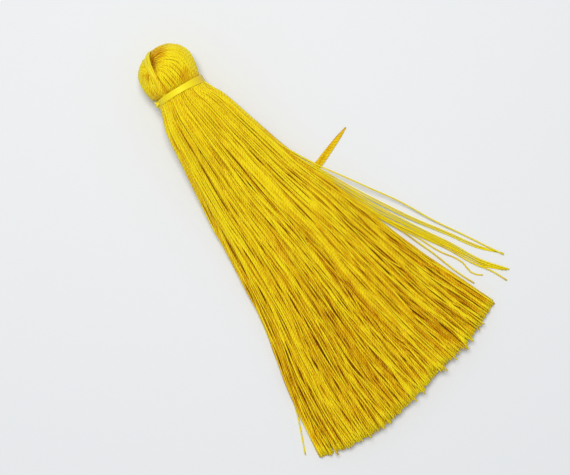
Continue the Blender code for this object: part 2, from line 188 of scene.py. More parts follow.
class Value:
    # A socket in an expression. Each operator adds the Math node for it.
    def __init__(self, nodes, socket):
        self.nodes, self.socket = nodes, socket

    def math(self, operation, *others):
        inputs = dict(enumerate([self, *others]))
        return self.nodes.value("ShaderNodeMath", {"operation": operation}, inputs)

    def __add__(self, other):
        return self.math("ADD", other)

    def __mul__(self, other):
        return self.math("MULTIPLY", other)

    def __sub__(self, other):
        return self.math("SUBTRACT", other)

    def __truediv__(self, other):
        return self.math("DIVIDE", other)

    def __pow__(self, other):
        return self.math("POWER", other)

    __radd__, __rmul__ = __add__, __mul__

    def __rsub__(self, other):
        return self.nodes.value("ShaderNodeMath", {"operation": "SUBTRACT"}, {0: other, 1: self})

    def held(self):  # kept between 0 and 1
        return self.nodes.value("ShaderNodeMath", {"operation": "ADD", "use_clamp": True}, {0: self, 1: 0.0})


class Nodes:
    # A new material, and the one way to add a node to it.
    def __init__(self, name):
        self.material = bpy.data.materials.new(name)
        self.material.use_nodes = True
        self.tree = self.material.node_tree
        self.tree.nodes.clear()

    def add(self, kind, settings=None, inputs=None):
        made = self.tree.nodes.new(kind)
        for key, value in (settings or {}).items():
            setattr(made, key, value)
        for key, value in (inputs or {}).items():
            if isinstance(value, Value):
                self.tree.links.new(value.socket, made.inputs[key])
            else:
                made.inputs[key].default_value = value
        return made

    def value(self, kind, settings=None, inputs=None, output=0):
        return Value(self, self.add(kind, settings, inputs).outputs[output])

    def finish(self, **inputs):
        shader = self.value("ShaderNodeBsdfPrincipled", None, inputs)
        self.add("ShaderNodeOutputMaterial", None, {"Surface": shader})
        return self.material


silk = dict(
    bright=(0.855, 0.705, 0.012, 1), golden=(0.65, 0.345, 0.003, 1), deep=(0.33, 0.075, 0.0003, 1),
    twist=1.4 * mm,  # one full turn of the two plies
    fibresAlong=900.0, fibresAround=9.0, slubsAlong=380.0,  # noise cells to a metre, or to a turn
    plyShade=0.28, tintShade=0.25, fibreShade=0.4, slubShade=1.0, cutShade=0.42, ground=0.035,
    bumpHeight=0.07 * mm, roughness=0.38,
)
floss = dict(
    bright=(0.85, 0.75, 0.022, 1), deep=(0.72, 0.44, 0.004, 1),
    filaments=96.0, filamentLength=2.2 * mm, bumpHeight=0.008 * mm, roughness=0.36,
)


def silkMaterial():
    nodes = Nodes("twistedSilk")
    uv = nodes.value("ShaderNodeUVMap", {"uv_map": "threadMap"})
    split = nodes.add("ShaderNodeSeparateXYZ", None, {"Vector": uv})
    along, around = (Value(nodes, split.outputs[i]) for i in (0, 1))
    shade, tint = (nodes.value("ShaderNodeAttribute", {"attribute_name": name}, output="Fac")
                   for name in ("shade", "tint"))
    twist = along / silk["twist"] * (1 + tint * 0.08) + around + tint * 23.7
    ply = (twist * (2 * math.pi)).math("COSINE").math("ABSOLUTE")  # 1 on a ply's back, 0 between plies
    where = nodes.value("ShaderNodeCombineXYZ", None, {
        "X": along * silk["fibresAlong"], "Y": twist * silk["fibresAround"], "Z": tint * 40})
    fibres = nodes.value("ShaderNodeTexNoise", {"noise_dimensions": "3D"},
                         {"Vector": where, "Scale": 1.0, "Detail": 2.0, "Roughness": 0.6}, "Fac")
    slow = nodes.value("ShaderNodeCombineXYZ", None, {
        "X": along * silk["slubsAlong"], "Y": tint * 90, "Z": 0.0})
    slubs = nodes.value("ShaderNodeTexNoise", {"noise_dimensions": "3D"},
                        {"Vector": slow, "Scale": 1.0, "Detail": 2.0, "Roughness": 0.6}, "Fac")
    # Twice a sum of the thread's painted shade, its tint, painted shade in the gaps between plies, the
    # two noises and the cut ends: 0 is bright, 1 golden and 2 deep.
    deepness = (shade + tint * silk["tintShade"] + (1 - ply) * silk["plyShade"]
                + (fibres - 0.5) * silk["fibreShade"] + (slubs - 0.5) * silk["slubShade"]
                + (0 - along).held() * silk["cutShade"] + silk["ground"]) * 2
    colour = silk["bright"]
    for share, deeper in ((deepness.held(), silk["golden"]), ((deepness - 1).held(), silk["deep"])):
        colour = nodes.value("ShaderNodeMix", {"data_type": "RGBA"},
                             {"Factor": share, "A": colour, "B": deeper}, "Result")
    bump = nodes.value("ShaderNodeBump", None, {
        "Strength": 1.0, "Distance": silk["bumpHeight"], "Height": ply ** 0.6 + fibres * 0.35})
    return nodes.finish(**{
        "Base Color": colour, "Roughness": silk["roughness"] + (1 - ply) * 0.12 + (fibres - 0.5) * 0.1,
        "Normal": bump, "Specular IOR Level": 0.27, "Specular Tint": (1.0, 0.86, 0.12, 1),
        "Sheen Weight": 0.2, "Sheen Roughness": 0.4, "Sheen Tint": (1.0, 0.8, 0.12, 1)})


def flossMaterial():
    nodes = Nodes("smoothFloss")
    uv = nodes.value("ShaderNodeUVMap", {"uv_map": "threadMap"})
    split = nodes.add("ShaderNodeSeparateXYZ", None, {"Vector": uv})
    along, around = (Value(nodes, split.outputs[i]) for i in (0, 1))
    shade = nodes.value("ShaderNodeAttribute", {"attribute_name": "shade"}, output="Fac")
    tint = nodes.value("ShaderNodeAttribute", {"attribute_name": "tint"}, output="Fac")
    turned = (around * (2 * math.pi)).math("COSINE") * (floss["filaments"] / 4) + tint * 17
    where = nodes.value("ShaderNodeCombineXYZ", None, {
        "X": along / floss["filamentLength"], "Y": turned,
        "Z": (around * (2 * math.pi)).math("SINE") * (floss["filaments"] / 8)})
    lines = nodes.value("ShaderNodeTexNoise", {"noise_dimensions": "3D"},
                        {"Vector": where, "Scale": 1.0, "Detail": 3.0, "Roughness": 0.65}, "Fac")
    deepness = (shade + (lines - 0.5) * 1.1).held()
    colour = nodes.value("ShaderNodeMix", {"data_type": "RGBA"},
                         {"Factor": deepness, "A": floss["bright"], "B": floss["deep"]}, "Result")
    bump = nodes.value("ShaderNodeBump", None, {
        "Strength": 1.0, "Distance": floss["bumpHeight"], "Height": lines})
    return nodes.finish(**{
        "Base Color": colour, "Roughness": floss["roughness"] + (lines - 0.5) * 0.25,
        "Normal": bump, "Specular IOR Level": 0.4, "Specular Tint": (1.0, 0.9, 0.25, 1)})


twistedSilk, smoothFloss = silkMaterial(), flossMaterial()


# the head's frame

head = dict(
    radius=6.05, rise=5.15, tail=9.0, flat=0.2, turn=math.radians(-8.7),
    lineTop=(-4.5, -2.0), lineEnd=(-0.9, -2.75),  # the threads come out along this line, under the tie
    hollowDepth=1.05, hollowWidth=1.1,
    creaseTurn=math.radians(-12.6), creaseOffset=3.0, creaseDepth=0.28, creaseWidth=1.0, creaseFade=2.4,
    neck=5.0, neckStops=(3.70, 4.05, 4.40, 5.60), neckRadii=(5.51, 5.15, 4.80, 4.75),
)
middle = np.array((0.0, 0.0, head["radius"] - head["flat"]))
axis = np.array((math.cos(head["turn"]), math.sin(head["turn"]), 0.0))
across = np.array((-axis[1], axis[0], 0.0))
up = np.array((0.0, 0.0, 1.0))
neckMiddle = middle + axis * head["neck"]
neckEdge = head["neckStops"][0]
neckPolar = math.acos(-neckEdge / head["tail"])


def inHead(local):  # from along, across and up of the head's middle to the frame
    return middle + local[..., :1] * axis + local[..., 1:2] * across + local[..., 2:] * up


def trimmed(local):  # the head's right side is flatter, most of all before the neck, and the left fuller
    along, aside = local[..., 0], local[..., 1]
    share = (0.075 + 0.045 * smooth(along, -1.0, 3.2)) * smooth(aside, -1, 5.5)
    share = share - 0.05 * smooth(along, -4.5, -1.0) * smooth(-aside, -1, 5.5)
    share = share * (1 - smooth(along, 3.5, 4.5))
    return np.stack([along, aside * (1 - share), local[..., 2]], -1)


def onBall(polar, angle):
    # The ball is half an ellipsoid over its middle and a longer half towards the neck. polar runs
    # from the head's top, and the angle round its axis from the right over the upper side.
    length = np.where(polar < math.pi / 2, head["rise"], head["tail"])
    reach = head["radius"] * np.sin(polar)
    return np.stack([-length * np.cos(polar), reach * np.cos(angle), reach * np.sin(angle)], -1)


def toMap(along, aside):  # a point of the ball's upper side as a complex number, the head's top at 0
    polar = math.acos(-along / (head["rise"] if along < 0 else head["tail"]))
    angle = math.acos(aside / (head["radius"] * math.sin(polar)))
    return math.tan(polar / 2) * complex(math.cos(angle), math.sin(angle))


def fromMap(spot):
    return onBall(2 * np.arctan(np.abs(spot)), np.angle(spot))


lineTop, lineEnd = toMap(*head["lineTop"]), toMap(*head["lineEnd"])
pinch = (lineTop + lineEnd) / 2
linePoints = fromMap(np.array((lineTop, lineEnd)))
creaseNormal = np.array((-math.sin(head["creaseTurn"]), math.cos(head["creaseTurn"]), 0.0))
creaseAlong = np.array((math.cos(head["creaseTurn"]), math.sin(head["creaseTurn"]), 0.0))
creaseFoot = creaseNormal * -head["creaseOffset"]


def offLine(points):  # distance from the line that the threads come out of, and the share along it
    run = linePoints[1] - linePoints[0]
    share = np.clip((points - linePoints[0]) @ run / (run @ run), 0, 1)
    return np.linalg.norm(points - (linePoints[0] + share[..., None] * run), axis=-1), share


def inMiddle(share):  # deepest half-way along the line
    return np.sin(math.pi * (0.08 + 0.8 * share))


def dent(points):  # how far the crease and the hollow sink the ball, each a bell curve
    offCrease = (points - creaseFoot) @ creaseNormal / head["creaseWidth"]
    crease = head["creaseDepth"] * np.exp(-offCrease ** 2)
    crease = crease * (1 - smooth(points[..., 0], neckEdge - head["creaseFade"], neckEdge))
    off, share = offLine(points)
    return crease + head["hollowDepth"] * inMiddle(share) * np.exp(-(off / head["hollowWidth"]) ** 2)


# the head's threads

headThreads = dict(
    layers=[  # threads, their half sizes, depth below the surface, how far they sink at the start, painted shade, more for the layers below
        dict(count=90, halfWidth=0.205, halfHeight=0.19, deep=0.0, sunk=1.0, shade=-0.13),
        dict(count=90, halfWidth=0.205, halfHeight=0.19, deep=0.28, sunk=0.7, shade=0.12),
        dict(count=58, halfWidth=0.45, halfHeight=0.2, deep=0.68, sunk=0.1, shade=0.50),
    ],
    patches=[  # patches of painted shade on the head: along, across, reach and strength
        (-0.5, -3.9, 1.0, 0.28), (2.9, 2.1, 1.0, 0.32), (-2.8, -1.7, 0.8, 0.10),
        (-2.8, 0.2, 1.3, 0.44), (-3.8, 1.4, 1.2, 0.20)],
    # between: painted shade on thread sides that touch other threads
    rings=38, between=0.20, tints=0.55, seed=11, jitter=0.14,
    hollow=0.85, hollowReach=(2.3, 1.4),  # how strong the painted shade in the hollow is, and how wide at its two ends
    # under: painted light on the low flanks; nearNeck and atNeck: painted shade above and under the binding
    under=0.16, nearNeck=0.26, atNeck=0.3,
)


def buildHead():
    # On the flat map a thread is a straight line from a point of the start line to its angle at the
    # neck. Threads that start close together sink below each other by a golden-ratio rank.
    rng = np.random.default_rng(headThreads["seed"])
    crease = (lineEnd - lineTop) / 2
    edge, jitter = math.tan(neckPolar / 2), headThreads["jitter"]
    sets = []
    for number, layer in enumerate(headThreads["layers"]):
        count, rings = layer["count"], headThreads["rings"]
        i = np.arange(count)
        angle = (2 * math.pi * (i + 0.5 * number + rng.uniform(-jitter, jitter, count)) / count)[:, None]
        aim = edge * np.exp(1j * angle)
        lean = np.real((aim - pinch) / abs(aim - pinch) * np.conj(crease) / abs(crease))
        start = pinch + crease * lean
        share = (np.linspace(0, 1, rings) ** 0.8)[None]
        grown = np.tan(share * neckPolar / 2) / edge
        spot = aim * grown + start * np.maximum(1 - grown, 0) ** 1.5
        spot = spot * np.exp(1j * 0.012 * ripple(rng, share * np.ones((count, 1)), 0.5, 1.6))
        ball = fromMap(spot)
        rank = ((i * 0.618034) % 1.0)[:, None]
        sink = dent(ball) + layer["deep"] + layer["halfHeight"]
        sink = sink + rank * layer["sunk"] * inMiddle(offLine(ball)[1]) * (1 - smooth(share, 0.02, 0.42))
        sink = sink + 0.05 * ripple(rng, share * np.ones((count, 1)), 0.3, 1.2)
        ball = ball - unit(ball) * sink[..., None]
        along = np.linspace(neckEdge + 0.35, head["neck"] + 0.5, 5)[None]
        radius = curveThrough(along, head["neckStops"], head["neckRadii"])
        radius = radius - layer["deep"] - layer["halfHeight"]
        neck = np.stack(np.broadcast_arrays(along, radius * np.cos(angle), radius * np.sin(angle)), -1)
        paths = inHead(trimmed(np.concatenate([ball, neck], axis=1)))
        paths[..., 2] = np.maximum(paths[..., 2], layer["halfHeight"])
        # Painted shade fills the hollow along the line, more on one side of it, and painted light brightens
        # the underside.
        off, lined = offLine(ball)
        run, away = unit(linePoints[1] - linePoints[0]), ball - linePoints[0]
        aside = away[..., 1] * run[0] - away[..., 0] * run[1]
        hollow = np.exp(-(off / mix(*headThreads["hollowReach"], lined)) ** 2) * (1 - 0.4 * lined)
        hollow = hollow * mix(0.35, 1, smooth(aside, -0.6, 0.5)) * mix(0.45, 1, smooth(lined, 0, 0.35))
        deepness = layer["shade"] + headThreads["hollow"] * hollow
        deepness = deepness - headThreads["under"] * (1 - smooth(ball[..., 2], 0.5, 3.5))
        for along, aside, reach, deep in headThreads["patches"]:
            apart = (ball[..., 0] - along) ** 2 + (ball[..., 1] - aside) ** 2
            deepness = deepness + deep * np.exp(-apart / reach ** 2) * (ball[..., 2] > 0)
        deepness = deepness + 0.06 * np.sin(ball[..., 0] * 1.7 + 1) * np.sin(ball[..., 1] * 1.3 + number)
        deepness = deepness + smooth(share, 0.80, 1.0) * headThreads["nearNeck"]
        atNeck = np.full((count, 5), layer["shade"] + headThreads["atNeck"])
        tint = headThreads["tints"] * rng.uniform(-1, 1, count)
        sets.append(sweep(paths, paths - middle, layer["halfWidth"], layer["halfHeight"], 6,
                          np.concatenate([deepness, atNeck], axis=1), tint, between=headThreads["between"]))
    addPiece("headThreads", sets, twistedSilk, "thread_bundle")


buildHead()


# the skirt's outline

skirt = dict(
    stops=(0, 3, 6, 12, 24, 36, 48, 60, 72, 78),  # distances from the neck
    left=(5.6, 6.9, 7.8, 9.2, 11.9, 14.1, 16.8, 20.7, 23.7, 24.7),
    right=(5.0, 5.8, 6.7, 7.8, 10.2, 13.3, 15.9, 19.1, 22.9, 24.5),
    top=(11.2, 11.3, 11.0, 10.1, 8.1, 6.6, 5.4, 4.5, 3.8, 3.6),
    curve=0.85, flattens=(2.0, 26.0), fans=(0.4, 4.6), rootPlane=6.3, rootDistance=1.3,
    rootStops=(-0.6, 0.1, 0.65, 2.0, 30.0), rootRadii=(4.72, 4.90, 5.28, 5.20, 5.20),
    lift=0.65, liftPlaces=(0.6, 0.72), liftFades=(30.0, 40.0),
    hemPlaces=(-1.0, -0.8, -0.45, -0.1, 0.25, 0.6, 1.0),
    hemDistances=(74.8, 76.2, 77.6, 77.1, 75.9, 74.8, 72.3),
)


def skirtOutline(distance, place):
    # Where a place across the skirt lies at a distance from the neck: along, across, underside, top.
    # Across the skirt the top follows an ellipse, and the underside is round near the neck and flat
    # further on. Near the neck this turns evenly into the round bundle that leaves the binding.
    left, right, top = (
        curveThrough(distance, skirt["stops"], skirt[side]) for side in ("left", "right", "top"))
    aside = (right - left) / 2 + place * (right + left) / 2
    bulge = np.sqrt(1 - skirt["curve"] * place ** 2)
    rounded = 1 - smooth(distance, *skirt["flattens"])
    high = top * ((1 - rounded) * bulge + rounded * (1 + bulge) / 2)
    low = top * rounded * (1 - bulge) / 2
    lift = skirt["lift"] * smooth(place, *skirt["liftPlaces"])
    low = low + lift * (1 - smooth(distance, *skirt["liftFades"]))
    radius = np.interp(distance, skirt["rootStops"], skirt["rootRadii"])
    half = radius * np.sqrt(np.maximum(1 - place ** 2, 0.0))
    run = skirt["rootPlane"] + distance - skirt["rootDistance"]
    share = smooth(distance, *skirt["fans"])
    return (
        mix(middle[0] + run * axis[0] + radius * place * across[0], neckMiddle[0] + distance, share),
        mix(middle[1] + run * axis[1] + radius * place * across[1], neckMiddle[1] + aside, share),
        mix(middle[2] - half, low, share), mix(middle[2] + half, high, share),
    )


def onSkirt(distance, place, height):
    x, y, low, high = skirtOutline(distance, place)
    return np.stack([x, y, mix(low, high, height)], -1)


# the bundle, packed section by section

bundle = dict(
    threads=760, radius=0.20, seed=5,
    stations=(-0.6, 1.3, 3, 5, 7.5, 10.5, 14, 18, 22.5, 27, 32, 37, 42, 47, 52, 57, 62, 67, 72, 77, 81),
    rounds=30, room=(0.335, 0.40), press=0.003, clump=0.028, wander=0.015, dive=0.09,
    wobble=0.09, hemClumps=0.10, hemLoose=0.26, sides=6, endShade=-0.16,
    # between, betweenNeck, betweenHem and besides: painted shade on thread sides that touch other threads
    between=2.0, betweenNeck=0.32, betweenHem=0.58, besides=(0.1, 0.5),
    groups=(("skirtTop", 0, 260, 56), ("skirtMiddle", 260, 510, 50), ("skirtUnderside", 510, 760, 42)),
)


def packBundle(rng):
    # Every thread is a disc in the section at each station. It starts where it was at the station
    # before, carried along with the outline. For a set number of rounds it is pushed off the discs that
    # it overlaps, drawn into bunches and brought back inside the outline, so some overlap stays. A light
    # press takes threads towards the top and the underside. The table of depths tells how far a thread
    # lies inside the outermost of those level with it: on the left, on the right, and on the nearest
    # of all sides.
    count = bundle["threads"]
    i = np.arange(count)
    reach, angle = np.sqrt((i + 0.5) / count), i * math.pi * (3 - math.sqrt(5))
    place = reach * np.cos(angle) + rng.normal(0, 0.012, count)
    place = np.clip(place, -0.98, 0.98)
    height = 0.5 + 0.5 * reach * np.sin(angle) / np.sqrt(1 - place ** 2)
    places, heights, depths = [], [], []  # one entry for each station
    heading, lifting = rng.normal(0, 1, count), rng.normal(0, 1, count)
    centres = rng.uniform(0, 100, 2)
    for number, distance in enumerate(bundle["stations"]):
        heading = 0.8 * heading + 0.6 * rng.normal(0, 1, count)
        lifting = 0.6 * lifting + 0.8 * rng.normal(0, 1, count)
        free = smooth(distance, 4, 20)
        clumped = smooth(distance, 6, 22) * (1 - 0.65 * smooth(distance, 30, 65))
        place = np.clip(place + bundle["wander"] * free * heading, -0.99, 0.99)
        height = np.clip(height + bundle["dive"] * free * lifting, 0, 1)
        y, low, high = skirtOutline(distance, place)[1:]
        spots = np.stack([y, mix(low, high, height)], -1)
        ends = skirtOutline(np.full(2, distance), np.array((-1.0, 1.0)))[1]
        for step in range(bundle["rounds"] * (3 if number == 0 else 1)):
            if step % 10 == 0:
                apart = spots[:, None] - spots[None]
                near = np.triu((apart ** 2).sum(-1) < 1.0, 1)
                a, b = np.nonzero(near)
            gap = spots[a] - spots[b]
            size = np.maximum(np.linalg.norm(gap, axis=-1, keepdims=True), 1e-6)
            push = gap / size * np.maximum(mix(*bundle["room"], smooth(distance, 1, 18)) - size, 0) * 0.42
            for side in (0, 1):
                spots[:, side] += np.bincount(a, push[:, side], count) - np.bincount(b, push[:, side], count)
            spots[:, 1] += bundle["press"] * np.sign(height - 0.45) * smooth(distance, 6, 40)
            spots[:, 0] += bundle["clump"] * clumped * (1 - place ** 4) * (
                np.sin(place * 72 + height * 5 + centres[0] + distance * 0.13)
                + np.sin(place * 104 - height * 7 + centres[1] - distance * 0.1))
            edge = bundle["radius"] / (ends[1] - ends[0]) * 2
            place = np.clip((spots[:, 0] - ends.mean()) / (ends[1] - ends[0]) * 2, -1 + edge, 1 - edge)
            y, low, high = skirtOutline(distance, place)[1:]
            inset = np.minimum(bundle["radius"] / (high - low), 0.5)
            height = np.clip((spots[:, 1] - low) / (high - low), inset, 1 - inset)
            spots = np.stack([y, mix(low, high, height)], -1)
        inside = []
        for side, level in ((0, 0.22), (0, 0.4), (1, 0.4)):
            others = np.where(
                np.abs(spots[:, 1 - side, None] - spots[:, 1 - side]) < level, spots[:, side], np.nan)
            inside += [spots[:, side] - np.nanmin(others, axis=1), np.nanmax(others, axis=1) - spots[:, side]]
        places.append(place)
        heights.append(height)
        depths.append(np.stack([inside[0], inside[1], np.min(inside[2:], axis=0)]))
    return np.array(places), np.array(heights), np.array(depths)


def alongThreads(table, distance):  # a table of stations by threads, read at each thread's own distances
    fine = np.linspace(bundle["stations"][0], bundle["stations"][-1], 240)
    values = curveThrough(fine, bundle["stations"], table)
    at = (distance - fine[0]) / (fine[1] - fine[0])
    i = np.clip(at.astype(int), 0, len(fine) - 2)
    row = np.arange(distance.shape[0])[:, None]
    return mix(values[i, row], values[i + 1, row], at - i)


# Painted shade and painted light on the skirt, and its streaks. A pair is where a change begins and
# ends: a distance from the neck, a place across the skirt or a depth below other threads.
paintedShadeAndStreakAmounts = dict(
    ground=0.02, body=0.03, bodyFrom=(8, 30), hem=0.19, hemLean=0.06, hemFrom=(14, 60),
    covered=0.56, depths=(0.06, 0.70), atNeck=0.08, neckTo=(6, 28), lessAtHem=0.4, hemTo=(50, 75),
    lessAtEdge=0.8, edgeTo=(0.7, 0.92), edge=0.05, edgePlaces=(0.5, 0.95), edgeFrom=(8, 50),
    flank=0.15, flankPlaces=(0.55, 0.85), flankFrom=(35, 65), streak=0.075, streakFrom=(4, 30),
)
streaks = np.random.default_rng(3).uniform((30, -0.16, 0), (190, 0.16, 7), (20, 3))


def paintedShadeAndStreaks(distance, place, depth):
    # Painted shade: darker towards the hem, at the edges and where a thread lies below other threads;
    # painted light brightens the right flank. Long streaks of it are brighter or deeper: a sum of sines
    # that run nearly along the threads.
    streak = sum(np.sin(a * place + b * distance + c) for a, b, c in streaks) / len(streaks) ** 0.5
    aside = np.abs(place)
    # painted shade where a thread lies below others, which light reaches less
    covered = smooth(depth, *paintedShadeAndStreakAmounts["depths"]) * mix(paintedShadeAndStreakAmounts["atNeck"], 1, smooth(distance, *paintedShadeAndStreakAmounts["neckTo"]))
    covered = covered * (1 - paintedShadeAndStreakAmounts["lessAtHem"] * smooth(distance, *paintedShadeAndStreakAmounts["hemTo"]))
    covered = covered * (1 - paintedShadeAndStreakAmounts["lessAtEdge"] * smooth(aside, *paintedShadeAndStreakAmounts["edgeTo"]))
    ground = paintedShadeAndStreakAmounts["ground"] + paintedShadeAndStreakAmounts["body"] * smooth(distance, *paintedShadeAndStreakAmounts["bodyFrom"])
    ground = ground + (paintedShadeAndStreakAmounts["hem"] + paintedShadeAndStreakAmounts["hemLean"] * place) * smooth(distance, *paintedShadeAndStreakAmounts["hemFrom"])
    edges = paintedShadeAndStreakAmounts["edge"] * smooth(aside, *paintedShadeAndStreakAmounts["edgePlaces"]) * smooth(distance, *paintedShadeAndStreakAmounts["edgeFrom"])
    flank = paintedShadeAndStreakAmounts["flank"] * smooth(place, *paintedShadeAndStreakAmounts["flankPlaces"]) * smooth(distance, *paintedShadeAndStreakAmounts["flankFrom"])
    streak = paintedShadeAndStreakAmounts["streak"] * streak * smooth(distance, *paintedShadeAndStreakAmounts["streakFrom"])
    return ground + (edges - flank) + paintedShadeAndStreakAmounts["covered"] * covered + streak


def brightEnds(shade, share):  # the last of a thread, where light comes through between the ends
    return mix(shade, bundle["endShade"], 0.85 * smooth(share, 0.955, 1.0))


def betweenThreads(left, right, share):
    # Painted shade, only on sides with other threads beside them, where shade falls between threads, most of
    # all in the middle of the skirt.
    turned = np.cos(2 * math.pi * np.arange(bundle["sides"]) / bundle["sides"])
    inside = smooth(np.where(turned > 0, left[..., None], right[..., None]), *bundle["besides"])
    fades = mix(bundle["betweenNeck"], 1, smooth(share, 0.06, 0.34))
    fades = fades * (1 - bundle["betweenHem"] * smooth(share, 0.6, 0.9)) * (1 - smooth(share, 0.975, 0.995))
    return bundle["between"] * inside * fades[..., None]


def buildSkirt():
    rng = np.random.default_rng(bundle["seed"])
    places, heights, depths = packBundle(rng)
    endPlace = places[-2]
    hem = curveThrough(endPlace, skirt["hemPlaces"], skirt["hemDistances"])
    ends = hem + bundle["hemClumps"] * field(rng, endPlace * 24, 1.3, 5.0) * 0.7
    ends = ends + rng.uniform(-1, 0.7, bundle["threads"]) * bundle["hemLoose"]
    ends = ends - 0.5 * (1 - heights[-2]) * rng.uniform(0, 1, bundle["threads"])
    order = np.argsort(-np.maximum(heights[8:].mean(axis=0), heights[-4:].mean(axis=0)), kind="stable")
    for name, low, high, rings in bundle["groups"]:
        chosen = order[low:high]
        share = np.linspace(0, 1, rings)[None] ** 1.08
        distance = mix(bundle["stations"][0], ends[chosen][:, None], share)
        place = alongThreads(places[:, chosen], distance)
        height = alongThreads(heights[:, chosen], distance)
        left, right, depth = (alongThreads(depths[:, i][:, chosen], distance) for i in range(3))
        paths = onSkirt(distance, place, height)
        grows = bundle["wobble"] * (0.25 + smooth(distance, 5, 70))
        paths[..., 1] += grows * ripple(rng, distance, 9, 45)
        paths[..., 2] += grows * 0.7 * ripple(rng, distance, 7, 40)
        radius = bundle["radius"] * (1 + 0.05 * ripple(rng, distance, 5, 30))
        radius = radius * mix(0.92, 1, smooth(distance, 1, 18)) * (1 + 0.10 * smooth(distance, 45, 72))
        radius = radius * (1 + 0.10 * smooth(share, 0.98, 0.995) - 0.22 * (share > 0.9999))
        paths[..., 2] = np.maximum(paths[..., 2], radius)
        shade = paintedShadeAndStreaks(distance, place, depth) + 0.04 * ripple(rng, distance, 10, 60)
        shade = brightEnds(shade, share)
        tint = rng.uniform(-1, 1, len(chosen))
        shade = shade - 0.55 * silk["tintShade"] * tint[:, None] * (1 - smooth(distance, 8, 34))
        calm = 1 - 0.45 * smooth(np.abs(place), 0.6, 0.9) * smooth(distance, 20, 60)
        swept = sweep(paths, up, radius, radius, bundle["sides"], shade, tint,
                      between=betweenThreads(left, right, share) * calm[..., None])
        addPiece(name, swept, twistedSilk, "thread_bundle")


buildSkirt()


# loose threads over the skirt

looseThreads = dict(count=110, seed=21, rings=48, radius=0.18, drift=0.085, rise=0.16, brighter=0.04)


def buildLoose():
    # A loose thread lies on the others and drifts a little across them.
    rng = np.random.default_rng(looseThreads["seed"])
    count = looseThreads["count"]
    start = rng.uniform(-0.86, 0.9, (count, 1))
    hem = curveThrough(start, skirt["hemPlaces"], skirt["hemDistances"])
    end = hem + rng.uniform(-1.6, 0.9, (count, 1))
    distance = mix(-0.5, end, np.linspace(0, 1, looseThreads["rings"])[None])
    drift = looseThreads["drift"] * rng.normal(0, 1, (count, 1)) * smooth(distance, 12, 75)
    place = start + drift + 0.012 * ripple(rng, distance, 14, 50) * smooth(distance, 5, 30)
    place = np.clip(place, -0.985, 0.985)
    emerges = rng.uniform(1.5, 26, (count, 1))
    rise = mix(-0.42, looseThreads["rise"], smooth(distance, emerges, emerges + 5))
    paths = onSkirt(distance, place, np.ones_like(place))
    paths[..., 2] += rise + 0.06 * ripple(rng, distance, 12, 40)
    shade = brightEnds(paintedShadeAndStreaks(distance, place, 0 * place) - looseThreads["brighter"], distance / end)
    swept = sweep(paths, up, looseThreads["radius"], looseThreads["radius"], 6, shade,
                  rng.uniform(-1, 0.6, count), between=0.5)
    addPiece("looseThreads", swept, twistedSilk, "thread_bundle")


buildLoose()


# stray threads beside the skirt

strays = dict(
    radius=0.15, rings=56, seed=31, spacing=0.42, falls=(22.0, 62.0),
    groups=[  # threads side by side, height where they leave, threads they end on, points along and across
        (1, 0.95, 1, [(24, 10.3), (28.7, 12.4), (34, 15.2), (38.5, 17.5), (44.8, 20.8), (51.6, 23.7),
                      (57.8, 26.6), (62.7, 28.8), (65.9, 30.4)]),
        (2, 0.8, 0, [(24, 10.1), (30, 12.2), (40, 16.3), (47.6, 20.0), (55.6, 24.2), (62.6, 28.1),
                     (66, 30.3)]),
        (2, 0.65, 1, [(25, 10.1), (32, 12.6), (40.8, 15.7), (49.7, 19.6), (57.4, 23.2), (64.3, 26.2),
                      (69.2, 29.2)]),
        (3, 0.5, 0, [(26, 10.2), (34, 12.7), (41.6, 15.0), (49.5, 18.5), (57.7, 22.5), (64.8, 25.9),
                     (69.2, 28.7)]),
        (1, 0.55, 1, [(26, 10.0), (34, 12.4), (41.6, 14.8), (49.5, 18.2), (57.7, 22.2), (63.4, 24.5),
                      (67.0, 26.5), (70.3, 27.6)]),
        (1, 0.4, 0, [(28, 10.6), (36, 12.8), (41.6, 14.7), (46.2, 16.2), (52.1, 18.9), (58.0, 21.0),
                     (60.5, 22.4), (62.2, 23.0), (63.7, 23.0), (65.1, 23.2), (67.2, 24.6)]),
        (1, 0.45, 1, [(28, 10.5), (36, 12.7), (42.2, 14.5), (46.2, 16.2), (49.4, 17.4), (52.8, 18.3),
                      (56.2, 19.2), (59.6, 20.0), (63.5, 21.2), (67.0, 22.2)]),
    ],
    lone=[(48.0, -16.75), (56.0, -19.35), (62.8, -21.4), (65.2, -22.35), (68.8, -24.2), (72.6, -26.3)],
)


